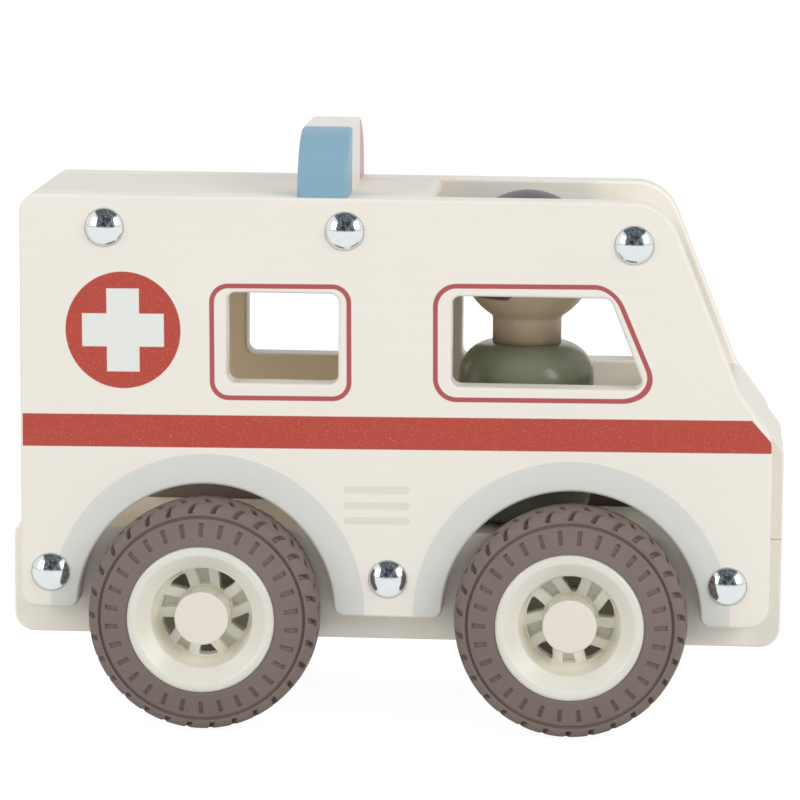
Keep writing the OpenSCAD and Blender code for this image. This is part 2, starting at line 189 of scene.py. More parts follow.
def draw_out(bm, way):
    """Draw flat faces out to a solid."""
    grown = bmesh.ops.extrude_face_region(bm, geom=bm.faces[:])
    bmesh.ops.translate(bm, vec=way, verts=only_verts(grown["geom"]))
    bmesh.ops.recalc_face_normals(bm, faces=bm.faces[:])


def thicken(bm, width, edge_r, steps=4):
    """Draw flat faces out along +Y to a plank of this width, and round over all its edges."""
    draw_out(bm, (0, width - 2 * edge_r, 0))
    turns = [radians(90 * step / steps) for step in range(steps + 1)]
    for side in (-1, 1):
        flat = [face for face in bm.faces if face.normal.y * side > 0.99]
        for start, end in zip(turns, turns[1:]):
            bmesh.ops.inset_region(bm, faces=flat, thickness=edge_r * (cos(start) - cos(end)),
                                   depth=edge_r * (sin(end) - sin(start)), use_boundary=True, use_even_offset=True)


def plank(corners, width, edge_r):
    """A plank across the middle, from corners given as x, z and radius."""
    bm = bmesh.new()
    spots = [bm.verts.new((x, edge_r - width / 2, z)) for x, z, r in corners]
    bm.faces.new(spots)
    for spot, (x, z, r) in zip(spots, corners):
        if r:
            round_corner(bm, spot, r)
    thicken(bm, width, edge_r)
    return bm


def make_piece(name, bm, material, body, slot, *nodes):
    """Make a finished mesh a piece that rides on a body and stands for its CAD nodes."""
    merge_reach = 0.0005
    bmesh.ops.remove_doubles(bm, verts=bm.verts[:], dist=merge_reach)
    bmesh.ops.recalc_face_normals(bm, faces=bm.faces[:])
    bmesh.ops.scale(bm, vec=(MM, MM, MM), verts=bm.verts[:])
    mesh = bpy.data.meshes.new(name)
    bm.to_mesh(mesh)
    bm.free()
    mesh.shade_smooth()
    mesh.materials.append(material)
    made = bpy.data.objects.new(name, mesh)
    bpy.context.collection.objects.link(made)
    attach(made, body)
    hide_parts(*nodes)
    return made


sharp_turn, shading_weight = radians(35), 100


def even_shading(made):
    """Keep flat faces flat beside small rounded edges, and corners sharp where they aren't rounded."""
    made.data.set_sharp_from_angle(angle=sharp_turn)
    shading = made.modifiers.new("even_shading", "WEIGHTED_NORMAL")
    shading.weight, shading.keep_sharp = shading_weight, True


bay_w, block_edge_r = 40, 0.6
tail_x, nose_x = -95.5, 95.5
chassis_z, floor_z = 20.8, 48
chassis_foot_r, chassis_back_r = 5, 2.5
# The chassis is painted a paler cream as painted light, lifting the shade that the side boards cast on it.
# The paler cream fades to the other blocks' cream at the nose and the floor's edge
block_cream, chassis_painted_light_cream = srgb(232, 227, 216), srgb(247, 242, 230)
nose_fade_x, low_fade_x, floor_fade = 92, 85, 0.4
block_paint, block_shader, block_place = new_finish("cream_block_paint")
x, y, z = block_place.split()
# Painted light: 1 on the chassis below the floor's edge, fading out towards the nose
low = z.ramp(floor_z + floor_fade, floor_z - floor_fade) * x.ramp(nose_fade_x, low_fade_x)
spray_paint(block_shader, block_place, low.mix(block_cream, chassis_painted_light_cream))
chassis = make_piece("chassis_plank", plank(
    [(tail_x, chassis_z, chassis_foot_r), (tail_x, floor_z, chassis_back_r), (nose_x, floor_z, 0),
     (nose_x, chassis_z, chassis_foot_r)], bay_w, block_edge_r), block_paint, "car", "block_paint", "chassis_block")
even_shading(chassis)

# The hood is a second block, glued on the chassis between the boards' noses. Its top follows their slope
# and runs out to a rounded nose.
hood_x, screen_foot_x, hood_z, nose_z = 70, 84, 85.7, 70.14
hood_back_r, screen_foot_r, nose_r = 1.5, 2, 3
hood = make_piece("hood_plank", plank(
    [(hood_x, floor_z, 0), (hood_x, hood_z, hood_back_r), (screen_foot_x, hood_z, screen_foot_r),
     (nose_x, nose_z, nose_r), (nose_x, floor_z, 0)], bay_w, block_edge_r),
    block_paint, "car", "block_paint", "hood_block")
even_shading(hood)

# The roof block closes the loading bay from above and stops behind the open cab. It lies flush with the
# boards' top edges, and two bolts a side go into it.
rear_x, front_x, roof_z, roof_front_x, roof_t = -92.5, 92.5, 131.8, 8.5, 16
roof_foot_r, roof_rear_r, roof_front_r, roof_edge_r = 1, 4.5, 2.5, 0.5
roof = make_piece("roof_plank", plank(
    [(rear_x, roof_z - roof_t, roof_foot_r), (rear_x, roof_z, roof_rear_r), (roof_front_x, roof_z, roof_front_r),
     (roof_front_x, roof_z - roof_t, roof_foot_r)], bay_w, roof_edge_r),
    block_paint, "car", "block_paint", "roof_block")
even_shading(roof)

# A round beech bar holds the boards apart above the windscreen. Its CAD solid has the right shape and
# takes the same sprayed paint.
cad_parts["cross_bar"].data.materials.clear()
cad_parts["cross_bar"].data.materials.append(block_paint)

# The two side boards are flat plywood, cut to the van's outline with windows and wheel arches, rounded
# over, sprayed cream and screen-printed on the outside with a stripe, a cross, outlines and arch bands.
board_t, board_edge_r = 8, 0.8
board_face = bay_w / 2 + board_t
axle_z, rear_axle_x, front_axle_x = 28.7, -46.5, 43.9
arch_r, arch_lead, arch_foot_r = 31.75, radians(4.5), 2.5
skirt_rear_z, skirt_front_z = 28.8, 27
screen_top_x, board_nose_z = 65.37, 74.2
# The outline's corners, from the rear skirt over the roof to the front skirt
outline_r = [3.5, 4.5, 11, 8, 5, 5.5]
sill_z, lintel_z, window_r = 85.9, 108.3, 2.2
# Each window's rear and front end, and the rake of its front edge
windows = ((-41.4, -13.9, 0), (13.8, 61.4, radians(22)))


def join(bm, spots):
    for first, second in zip(spots, spots[1:]):
        bm.edges.new((first, second))


def side_board(y):
    """A board whose right face is at y."""
    def spot(x, z):
        return bm.verts.new((x, y + board_edge_r, z))

    def arch(x):
        """An arch's front corner, its curve and its rear corner."""
        corners = [spot(end, skirt_rear_z + (skirt_front_z - skirt_rear_z) * (end - rear_x) / (front_x - rear_x))
                   for end in (x + arch_r, x - arch_r)]
        first = spot(x + arch_r * cos(arch_lead), axle_z + arch_r * sin(arch_lead))
        curve = bmesh.ops.spin(bm, geom=[first], cent=(x, y + board_edge_r, axle_z), axis=(0, 1, 0),
                               angle=2 * arch_lead - pi, steps=48)
        last = curve["geom_last"][0]
        join(bm, [corners[0], first])
        join(bm, [last, corners[1]])
        return corners

    bm = bmesh.new()
    body = [spot(rear_x, skirt_rear_z), spot(rear_x, roof_z), spot(screen_top_x, roof_z), spot(screen_foot_x, hood_z),
            spot(front_x, board_nose_z), spot(front_x, skirt_front_z)]
    front_arch, rear_arch = arch(front_axle_x), arch(rear_axle_x)
    join(bm, body + front_arch[:1])
    join(bm, [front_arch[1], rear_arch[0]])
    join(bm, [rear_arch[1], body[0]])
    for corner, r in zip(body + front_arch + rear_arch, outline_r + [arch_foot_r] * 4):
        round_corner(bm, corner, r)
    for low_x, high_x, rake in windows:
        top_x = high_x - (lintel_z - sill_z) * tan(rake)
        window = [spot(low_x, sill_z), spot(low_x, lintel_z), spot(top_x, lintel_z), spot(high_x, sill_z)]
        join(bm, window + window[:1])
        for corner in window:
            round_corner(bm, corner, window_r)
    bmesh.ops.triangle_fill(bm, use_beauty=True, use_dissolve=True, edges=bm.edges[:], normal=(0, -1, 0))
    thicken(bm, board_t, board_edge_r)
    return bm


def inside(distance, soft=0.13):
    """1 where a distance to an edge is negative."""
    return distance.ramp(soft, -soft)


def reach(across, up):
    """The distance from a point, from its two parts."""
    return (across * across + up * up).root()


def rounded_both(first, second, r):
    """The distance to where two regions meet, with their common corner rounded."""
    return first.most(second).least(0 - r) + reach((first + r).most(0), (second + r).most(0))


def any_of(first, *others):
    """1 where any of the masks is 1."""
    for other in others:
        first = first.most(other)
    return first


# The bay's warm tint and the cab's paler cream are painted light on the boards' inner faces
board_cream, bay_painted_bounce_tint, cab_painted_light = srgb(237, 232, 222), srgb(248, 229, 195), srgb(250, 244, 232)
print_red, bare_red, outline_red = srgb(181, 69, 55), srgb(222, 176, 166), srgb(176, 84, 87)
print_grey, print_pale, print_white = srgb(217, 218, 212), srgb(224, 219, 208), srgb(229, 231, 226)
board_paint, board_shader, board_place = new_finish("printed_board_paint")
x, y, z = board_place.split()
# The print lies a little askew on the board, turned about this height
print_tilt, print_turn_z = 0.009, 75
print_z, print_x = z - print_tilt * x, x + print_tilt * (z - print_turn_z)
# The stripe, cut off along the hood's edge
stripe_z, stripe_half, stripe_tail_x = 74.13, 4.07, -91.9
stripe_end = (x - 87.35) * 0.744 + (z - 79.0) * 0.668
stripe = inside((abs(print_z - stripe_z) - stripe_half).most(stripe_end).most(stripe_tail_x - x))
# The emblem, a little taller than it is wide, and its cross
emblem_mid_x, emblem_mid_z, emblem_r, emblem_squash = -66.7, 99.15, 14.2, 0.982
cross_reach, cross_half = 10.1, 4.02
emblem_x, emblem_z = abs(print_x - emblem_mid_x), abs(print_z - emblem_mid_z) * emblem_squash
emblem = inside(reach(emblem_x, emblem_z) - emblem_r)
cross = inside((emblem_x - cross_reach).most(emblem_z - cross_half).least(
    (emblem_x - cross_half).most(emblem_z - cross_reach)))
# The outlines round the windows. The front one's corners grow tighter towards its top, past its middle
line_half = 0.6
rear_line = rounded_both(abs(print_x + 27.94) - 17.45, abs(print_z - 96.43) - 14.45, 4.7)
front_tail_x, front_mid_x, front_foot_x, front_foot_z, front_h = 9.49, 35, 66.2, 82.0, 29.2
rake = (print_x - front_foot_x) * 0.922 + (print_z - front_foot_z) * 0.387
front_r = 5.8 + print_x.above(front_mid_x) * (4.1 - 5.1 * ((print_z - front_foot_z) / front_h))
front_line = rounded_both(rake.most(front_tail_x - print_x), abs(print_z - 96.68) - 14.62, front_r)
outlines = any_of(*[inside(abs(line + line_half) - line_half) for line in (rear_line, front_line)])
# The grille of three short bars
bar_mid_x, bar_half, bar_r = -4.4, 7.2, 0.93
bar_end = (abs(print_x - bar_mid_x) - bar_half).most(0)
grille = any_of(*[inside(reach(bar_end, print_z - bar_z) - bar_r) for bar_z in (59.98, 55.98, 52.22)])
# The grey bands round the wheel arches
band_r = 39
bands = any_of(*[inside(reach(x - band_x, z - band_z) - band_r)
                 for band_x, band_z in ((-46.1, 29.1), (43.94, 28.9))])
# Ink lies on the outer face only, and misses the paint in fine specks. Inside is painted light: a warm tint in the bay
# stands for its warm bounced light, and a paler cream in the cab for the light through the windscreen
ink = abs(y).ramp(board_face - 0.45, board_face - 0.15)
inner = abs(y).ramp(bay_w / 2 + 0.9, bay_w / 2 + 0.2)
missed = board_place.noise(2.4, 2.0).ramp(0.56, 0.74)
red_ink = (missed * 0.24).mix(print_red, bare_red)
tint = (inner * x.ramp(14, 4) * 0.75).mix(board_cream, bay_painted_bounce_tint)
tint = (inner * x.ramp(44, 50)).mix(tint, cab_painted_light)
tint = (bands * ink).mix(tint, print_grey)
tint = (grille * ink).mix(tint, print_pale)
tint = (outlines * ink).mix(tint, outline_red)
tint = (cross * ink).mix(tint, print_white)
tint = (stripe.most(emblem * (1 - cross)) * ink).mix(tint, red_ink)
spray_paint(board_shader, board_place, tint, 0.48)
for side, right_face in (("right", -board_face), ("left", bay_w / 2)):
    board = make_piece(f"board_{side}", side_board(right_face), board_paint, "car", "board_paint",
                       f"side_board_{side}")
    even_shading(board)

# Dome bolts go through each board into the blocks behind. They are pressed steel, smooth and
# bright with zinc plate, and each head lies flat on the paint.
bolt_places = [(-71.5, 123.8), (-12.5, 123.8), (58, 121.5), (-85.1, 37.6), (-1.3, 37.6), (82.2, 37.6)]
bolt_head_r, bolt_head_h, shank_r, shank_l = 4.85, 2.4, 2, 6
dome_r = (bolt_head_r ** 2 + bolt_head_h ** 2) / (2 * bolt_head_h)
zinc, zinc_shader, zinc_place = new_finish("bright_zinc")
plate = zinc_place.noise(0.5, 3.0)
feed(zinc_shader, base_color=plate.mix(srgb(212, 218, 221), srgb(228, 231, 231)), metallic=1.0,
     roughness=0.1 + 0.06 * plate, normal=zinc_place.noise(0.35, 2.0).bump(0.02))


def spin_round(bm, x, steps):
    """Turn a profile right round an upright axis."""
    bmesh.ops.spin(bm, geom=bm.verts[:] + bm.edges[:], cent=(x, 0, 0), axis=(0, 0, 1), angle=2 * pi, steps=steps,
                   use_merge=True)


def turned(points, steps):
    """A shape turned about +Z from a profile given as radius, height and rounding."""
    bm = bmesh.new()
    spots = [bm.verts.new((r, 0, z)) for r, z, rounding in points]
    join(bm, spots)
    for spot, (r, z, rounding) in zip(spots, points):
        if rounding:
            round_corner(bm, spot, rounding)
    spin_round(bm, 0, steps)
    return bm


def dome_bolts(side):
    """Six dome heads on one side of the body, each with a stub of its shank."""
    bm = bmesh.new()
    edge = bm.verts.new((bolt_head_r, 0, 0))
    bmesh.ops.spin(bm, geom=[edge], cent=(0, 0, bolt_head_h - dome_r), axis=(0, 1, 0),
                   angle=-asin(bolt_head_r / dome_r), steps=14)
    join(bm, [edge] + [bm.verts.new((r, 0, z)) for r, z in ((shank_r, 0), (shank_r, -shank_l), (0, -shank_l))])
    spin_round(bm, 0, 48)
    bmesh.ops.transform(bm, matrix=Matrix.Rotation(radians(-90 * side), 4, "X"), verts=bm.verts[:])
    pattern = bm.verts[:] + bm.edges[:] + bm.faces[:]
    for bolt_x, bolt_z in bolt_places:
        copied = bmesh.ops.duplicate(bm, geom=pattern)["geom"]
        bmesh.ops.translate(bm, vec=(bolt_x, board_face * side, bolt_z), verts=only_verts(copied))
    bmesh.ops.delete(bm, geom=only_verts(pattern), context="VERTS")
    return bm


for side, sign in (("right", -1), ("left", 1)):
    make_piece(f"bolts_{side}", dome_bolts(sign), zinc, "car", "bolt_zinc", f"dome_bolts_{side}")

# The siren is three beech blocks glued side by side across the roof, sanded to one round-shouldered shape
# and painted: blue, off-white and dusty rose.
siren_x, siren_t, siren_half, siren_split, siren_side_h, siren_edge_r = -24.3, 12.3, 27, 12, 1, 0.9
siren_r = siren_half - siren_split
siren_z = roof_z + siren_side_h + siren_r


def siren_block(side):
    """The right, middle or left block. An end block has a round shoulder on its outer side."""
    bm = bmesh.new()

    def spot(y, z):
        return bm.verts.new((siren_x, y, z))

    if side:
        first = spot(side * siren_split, siren_z)
        curve = bmesh.ops.spin(bm, geom=[first], cent=(siren_x, side * siren_split, siren_z - siren_r),
                               axis=(1, 0, 0), angle=-side * pi / 2, steps=24)
        last = curve["geom_last"][0]
        join(bm, [last] + [spot(side * y, roof_z) for y in (siren_half, siren_split)] + [first])
    else:
        corners = [spot(-siren_split, roof_z), spot(-siren_split, siren_z), spot(siren_split, siren_z),
                   spot(siren_split, roof_z)]
        join(bm, corners + corners[:1])
    bmesh.ops.contextual_create(bm, geom=bm.edges[:])
    draw_out(bm, (siren_t, 0, 0))
    # Only the outer edges of the two flat ends are sanded round, and the glued faces stay sharp
    ends = [edge for edge in bm.edges if edge.calc_face_angle(0) > sharp_turn
            and any(abs(face.normal.x) > 0.9 for face in edge.link_faces)
            and not any(face.normal.z < -0.9 or abs(face.calc_center_median().y) == siren_split
                        for face in edge.link_faces)]
    bmesh.ops.bevel(bm, geom=ends, offset=siren_edge_r, offset_type="OFFSET", affect="EDGES", segments=4,
                    profile=0.5, material=-1)
    return bm


for name, side, colour in (("blue", -1, srgb(133, 169, 189)), ("white", 0, srgb(234, 229, 221)),
                           ("red", 1, srgb(200, 156, 161))):
    siren_paint, siren_shader, siren_place = new_finish(f"siren_{name}_paint")
    spray_paint(siren_shader, siren_place, colour, 0.4)
    block = make_piece(f"siren_{name}", siren_block(side), siren_paint, "car", f"siren_{name}",
                       f"siren_{name}_block")
    even_shading(block)

# Each axle is a plain drawn steel rod. Its CAD solid has the right shape and takes a steel finish with
# fine lines along the rod.
steel, steel_shader, steel_place = new_finish("drawn_steel")
lines = steel_place.stretched(1, 0.03, 1).noise(3.0, 3.0)
feed(steel_shader, base_color=lines.mix(srgb(150, 152, 154), srgb(190, 192, 194)), metallic=1.0,
     roughness=0.28 + 0.15 * lines, normal=lines.bump(0.02))
for name in ("front_axle", "rear_axle"):
    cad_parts[name].data.materials.clear()
    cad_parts[name].data.materials.append(steel)

# The rims are moulded in glossy cream plastic: a round lip, a dish, five pairs of swept spokes with a pocket
# inside each pair and a hole between pairs, and a hub.
wheel_mid, wheel_steps = 29.4, 120
wheels = [("front_right", front_axle_x, -1, 12.5), ("front_left", front_axle_x, 1, 12.5),
          ("rear_right", rear_axle_x, -1, 54), ("rear_left", rear_axle_x, 1, 54)]
rim_r, barrel_r, wall_z, foot_r = 18.18, 16, 7.9, 0.4
lip_in_r, lip_z, dish_r, dish_z, lip_round = 16.2, 10.4, 12.6, 7.3, 0.9
hub_r, hub_z, hub_back_z, bore_r = 6.6, 7.5, -9.1, 2.52
spoke_z, web_back_z, spoke_w, spoke_l, spoke_sweep = -0.2, -4.5, 2.4, 3.9, 5
pocket_half, pocket_flare, pocket_draft, pocket_depth, hole_r = 1.25, 0.45, 0.3, 2.4, 0.6
web_r = (11.2, 10.95, 10.75, 10.3, 9.4, 8.2, 7.0, hub_r)
hole_in_r, hole_out_r = web_r[-2], web_r[1]
# The web's faces fall into 24 columns for each pair: 10 for a hole, 4 a spoke, 6 for the pocket
pairs, columns, hole_end, spoke_end, pocket_end = 5, 24, 10, 14, 20
pair_turn, column_turn = 360 / pairs, 360 / wheel_steps


def at_wheel(bm, x, side, turn):
    """Stand a wheel's piece, made with its outer face up, at one end of an axle."""
    bmesh.ops.transform(bm, verts=bm.verts[:], matrix=Matrix.Translation((x, side * wheel_mid, axle_z))
                        @ Matrix.Rotation(radians(-90 * side), 4, "X") @ Matrix.Rotation(radians(turn), 4, "Z"))
    return bm


def polar(point):
    """The radius and the turn in degrees of a point about the axle."""
    return point.xy.length, degrees(atan2(point.y, point.x)) % 360


def closed_turning(points):
    """A closed ring turned from a profile, with its faces looking out."""
    bm = turned(points, wheel_steps)
    bmesh.ops.remove_doubles(bm, verts=bm.verts[:], dist=0.001)
    bmesh.ops.recalc_face_normals(bm, faces=bm.faces[:])
    return bm


def sink(bm, faces, draft, depth):
    bmesh.ops.inset_region(bm, faces=faces, thickness=draft, depth=-depth, use_boundary=True, use_even_offset=True)


def rim():
    front = [(r, spoke_z, 0) for r in web_r]
    back = [(r, web_back_z, 0) for r in web_r[::-1]]
    bm = closed_turning(
        [(rim_r, -wall_z, 0), (rim_r, lip_z, lip_round), (lip_in_r, lip_z, lip_round), (dish_r, dish_z, lip_round)]
        + front + [(hub_r, hub_z, 0), (bore_r, hub_z, 0), (bore_r, hub_back_z, 0), (hub_r, hub_back_z, foot_r)]
        + back + [(barrel_r, web_back_z, 0), (barrel_r, -wall_z, foot_r), (rim_r, -wall_z, 0)])
    holes, pockets = [[] for pair in range(pairs)], []
    for face in bm.faces:
        middle = face.calc_center_median()
        r, turn = polar(middle)
        if hole_in_r < r < hole_out_r and abs(face.normal.z) > 0.9 and web_back_z - 0.5 < middle.z < 0:
            column = int(turn / column_turn) % columns
            if column < hole_end:
                holes[int(turn / pair_turn)].append(face)
            elif spoke_end <= column < pocket_end and face.normal.z > 0:
                pockets.append(face)
    # Turn the web's rings of corners so that the columns follow the spokes, with round ends to the holes
    rings = {}
    for vert in bm.verts:
        r, turn = polar(vert.co)
        if hole_in_r - 0.1 < r < web_r[0] + 0.1 and min(
                abs(vert.co.z - spoke_z), abs(vert.co.z - web_back_z)) < 0.01:
            rings.setdefault((round(r, 2), round(turn / column_turn) % columns), []).append(vert)
    for (r, column), ring in rings.items():
        share = min((r - hole_in_r) / spoke_l, 1)
        pocket = pocket_half + pocket_flare * share
        into = max(hole_r - max(hole_out_r - r, 0), 0)
        spoke = pocket + spoke_w + hole_r - sqrt(hole_r ** 2 - into ** 2)
        pocket_turn, spoke_turn, half_turn = degrees(asin(pocket / r)), degrees(asin(spoke / r)), pair_turn / 2
        marks = [(0, spoke_turn - half_turn), (hole_end, half_turn - spoke_turn), (spoke_end, half_turn - pocket_turn),
                 (pocket_end, half_turn + pocket_turn), (columns, half_turn + spoke_turn)]
        for (low, low_turn), (high, high_turn) in zip(marks, marks[1:]):
            if low <= column < high:
                goal = low_turn + (high_turn - low_turn) * (column - low) / (high - low)
        bmesh.ops.rotate(bm, verts=ring, cent=(0, 0, 0), matrix=Matrix.Rotation(
            radians(goal + spoke_sweep * share - column_turn * column), 3, "Z"))
    for hole in holes:
        edge_loops = [edge for face in hole for edge in face.edges
                      if sum(other in hole for other in edge.link_faces) == 1]
        bmesh.ops.delete(bm, geom=hole, context="FACES_ONLY")
        bmesh.ops.delete(bm, geom=[edge for edge in bm.edges if edge.is_wire], context="EDGES")
        bmesh.ops.bridge_loops(bm, edges=edge_loops)
    sink(bm, pockets, pocket_draft, pocket_depth)
    return bm


def soften(made, width):
    """Round the edges of a moulding."""
    edges = made.modifiers.new("soft_edges", "BEVEL")
    edges.width, edges.segments, edges.limit_method, edges.angle_limit = width * MM, 2, "ANGLE", sharp_turn
    edges.use_clamp_overlap = True
    made.modifiers.new("even_shading", "WEIGHTED_NORMAL").weight = shading_weight


# The dish is painted a paler cream than the lip, as painted light that brightens the shade deep in the dish
rim_plastic, rim_shader, rim_place = new_finish("glossy_cream_plastic")
flow = rim_place.noise(0.12, 3.0)
lip_tint, dish_painted_light = flow.mix(srgb(223, 219, 207), srgb(231, 228, 218)), srgb(254, 249, 234)
dish = abs(rim_place.split()[1]).ramp(36, 31)
feed(rim_shader, base_color=dish.mix(lip_tint, dish_painted_light), roughness=0.24 + 0.12 * flow,
     normal=rim_place.noise(0.9, 2.0).bump(0.012), subsurface_weight=0.7, subsurface_scale=0.005,
     subsurface_radius=(1.0, 0.85, 0.6))
for wheel, wheel_x, side, turn in wheels:
    made = make_piece(f"{wheel}_wheel_rim", at_wheel(rim(), wheel_x, side, turn), rim_plastic,
                      f"{wheel.split('_')[0]}_wheels", "rim_plastic", f"{wheel}_rim")
    soften(made, 0.3)

# The tyres are soft taupe rubber pressed over the rims: a swollen side wall with shallow radial slots,
# a ring groove, and a crowned tread of four rows of slanted grooves that lean by turns.
tyre_r, bead_r, ring_r, ring_w, ring_depth = 28.7, 18.2, 25.6, 0.7, 0.6
# The tread's outer half, from a narrow rib at the middle over two rows, with a land between, to the shoulder
rib_half, row_end, row_start, shoulder_r = 0.25, 3.7, 4.2, 2.2
half_tread = [(tyre_r, rib_half, 0), (28.6, 1.6, 0), (28.37, row_end, 0), (28.31, row_start, 0),
              (27.89, wall_z, shoulder_r)]
row_z, groove_lean, groove_draft, groove_depth = 3.95, radians(24), 0.16, 1.3
slot_in_r, slot_out_r, slot_draft, slot_depth, groove_pitch = 20.65, 23.95, 0.1, 0.6, 4


def tyre():
    tread = [(r, -z, rounding) for r, z, rounding in half_tread[::-1]] + half_tread
    bm = closed_turning(
        [(bead_r, -wall_z, 0), (ring_r, -wall_z, 0)] + tread
        + [(ring_r, wall_z, 0), (ring_r, wall_z - ring_depth, 0), (ring_r - ring_w, wall_z - ring_depth, 0),
           (ring_r - ring_w, wall_z, 0), (slot_out_r, 8.19, 0), (slot_in_r, 9.196, 0), (19, 9.7, 0.6),
           (bead_r, 9.7, 0), (bead_r, -wall_z, 0)])
    # Of the four columns in a pitch, each row sinks one, half a pitch apart on the two sides of the middle
    grooves, slots = [], []
    for face in bm.faces:
        middle = face.calc_center_median()
        (r, turn), height = polar(middle), abs(middle.z)
        column = int(turn / column_turn) % groove_pitch
        inner_column, outer_column = (0, 2) if middle.z > 0 else (2, 0)
        if rib_half < height < row_end and r > 28 and column == inner_column:
            grooves.append(face)
        elif height > row_start and r > 26.2 and column == outer_column:
            grooves.append(face)
        elif slot_in_r < r < slot_out_r and middle.z > wall_z and column == 0:
            slots.append(face)
    # Twist the rings of corners so that the rows lean by turns
    rings = {}
    for vert in bm.verts:
        on_wall = vert.co.z > 0 and vert.co.xy.length < ring_r + 0.1
        height = wall_z if on_wall else min(abs(vert.co.z), wall_z)
        rings.setdefault(round(height, 3), []).append(vert)
    for height, ring in rings.items():
        twist = (abs(height - row_z) - row_z) * tan(groove_lean) / tyre_r - radians(column_turn / 2)
        bmesh.ops.rotate(bm, verts=ring, cent=(0, 0, 0), matrix=Matrix.Rotation(twist, 3, "Z"))
    sink(bm, grooves, groove_draft, groove_depth)
    sink(bm, slots, slot_draft, slot_depth)
    return bm


rubber, rubber_shader, rubber_place = new_finish("taupe_rubber")
bloom, pores = rubber_place.noise(0.08, 3.0), rubber_place.noise(2.2, 3.0)
feed(rubber_shader, base_color=bloom.mix(srgb(114, 100, 93), srgb(125, 111, 104)),
     roughness=0.62 + 0.2 * pores, normal=pores.bump(0.06))
for wheel, wheel_x, side, turn in wheels:
    made = make_piece(f"{wheel}_wheel_tyre", at_wheel(tyre(), wheel_x, side, turn), rubber,
                      f"{wheel.split('_')[0]}_wheels", "tyre_rubber", f"{wheel}_tyre")
    soften(made, 0.22)

# The hub caps are flat moulded discs in matt cream plastic, pushed into the hubs over the axle's ends.
# Each has a short peg behind it.
cap_z, cap_flat_r, cap_edge_r, peg_r, peg_z = 8.4, 5.2, 0.45, 2.5, 4.5
cap_plastic, cap_shader, cap_place = new_finish("matt_cream_plastic")
frost = cap_place.noise(1.3, 3.0)
feed(cap_shader, base_color=frost.mix(srgb(224, 218, 206), srgb(231, 225, 214)), roughness=0.5 + 0.15 * frost,
     normal=frost.bump(0.03))
for wheel, wheel_x, side, turn in wheels:
    cap = turned([(0, cap_z, 0), (cap_flat_r, cap_z, 0), (hub_r, cap_z, cap_edge_r), (hub_r, hub_z, 0),
                  (peg_r, hub_z, 0), (peg_r, peg_z, 0), (0, peg_z, 0)], 72)
    made = make_piece(f"{wheel}_wheel_cap", at_wheel(cap, wheel_x, side, turn), cap_plastic,
                      f"{wheel.split('_')[0]}_wheels", "cap_plastic", f"{wheel}_hub_cap")
    even_shading(made)

# The figure's body is turned from one beech dowel and painted sage green, with round shoulders.
# It stands loose on the cab's floor.
figure_x, figure_z, figure_r, body_h = 31.2, 48.3, 16.9, 45.2
figure_foot_r, figure_shoulder_r, socket_r = 8, 8.5, 4
body_green, body_shader, body_place = new_finish("sage_green_paint")
spray_paint(body_shader, body_place, srgb(124, 128, 106), 0.22)
body = turned([(0, 0, 0), (figure_r, 0, figure_foot_r), (figure_r, body_h, figure_shoulder_r),
               (socket_r, body_h, 0), (0, body_h, 0)], 96)
bmesh.ops.translate(body, vec=(figure_x, 0, figure_z), verts=body.verts[:])
even_shading(make_piece("figure_turned_body", body, body_green, "figure", "figure_green", "figure_body"))

# The head is a ball turned with its neck from plain beech, glued into the body by a peg. The hair is paint,
# and so is a plain face of two dots and a short curve.
head_r, neck_r, nape_r, head_z = 16.9, 8.6, 1.5, figure_z + (body_h + 21.1)
hair_low, hair_slope, hair_back = -9.2, 0.92, 4.5
eye_side, eye_up, eye_r = 5.6, 1.5, 1.1
smile_up, smile_r, smile_half = -2.5, 4.6, 0.35
skin, skin_shader, skin_place = new_finish("plain_beech_and_hair")
x, y, z = skin_place.split()
forward, up = x - figure_x, z - head_z
rays = skin_place.stretched(1, 1, 0.12).noise(0.9, 3.0)
wood = rays.mix(srgb(186, 166, 142), srgb(200, 180, 155))
hair = inside(hair_low + hair_slope * (forward + hair_back).most(0) - up, 0.2)
face = forward.ramp(5, 6)
eyes = inside(reach(abs(y) - eye_side, up - eye_up) - eye_r, 0.15) * face
smile = inside(abs(reach(y, up - smile_up) - smile_r) - smile_half, 0.12) * (0 - up).ramp(5.4, 5.7) * face
spray_paint(skin_shader, skin_place,
            hair.most(eyes).mix(smile.mix(wood, srgb(176, 110, 98)), srgb(92, 82, 84)), 0.42)
head = bmesh.new()
nape_turn = asin(sqrt(head_r ** 2 - neck_r ** 2) / head_r)
nape = head.verts.new((figure_x + neck_r, 0, head_z - head_r * sin(nape_turn)))
bmesh.ops.spin(head, geom=[nape], cent=(figure_x, 0, head_z), axis=(0, 1, 0), angle=-nape_turn - pi / 2, steps=44)
join(head, [nape] + [head.verts.new((figure_x + r, 0, figure_z + body_h)) for r in (neck_r, 0)])
round_corner(head, nape, nape_r)
spin_round(head, figure_x, 96)
make_piece("figure_turned_head", head, skin, "figure", "figure_skin", "figure_head")


# The studio: a white floor that keeps a faint shadow, an even white surround, and soft boxes on both
# sides of the camera, with the dark room between them that shows in bright metal. Its sizes are in metres.
def studio_object(name, bm, material):
    mesh = bpy.data.meshes.new(name)
    bm.to_mesh(mesh)
    bm.free()
    mesh.materials.append(material)
    made = bpy.data.objects.new(name, mesh)
    bpy.context.collection.objects.link(made)
    return made


def seen_rays(tree):
    """1 where the camera sees something, straight, mirrored or through a clear piece, in an emptied tree."""
    tree.nodes.clear()
    path = tree.nodes.new("ShaderNodeLightPath")
    return any_of(*[Field(tree, path.outputs[f"Is {kind} Ray"]) for kind in ("Camera", "Glossy", "Transmission")])


def soft_box(name, place, size, power, colour):
    lamp = bpy.data.lights.new(name, "AREA")
    lamp.size, lamp.energy, lamp.color = size, power, colour
    made = bpy.data.objects.new(name, lamp)
    made.location = place
    made.rotation_euler = (lamp_aim - Vector(place)).to_track_quat("-Z", "Y").to_euler()
    bpy.context.collection.objects.link(made)


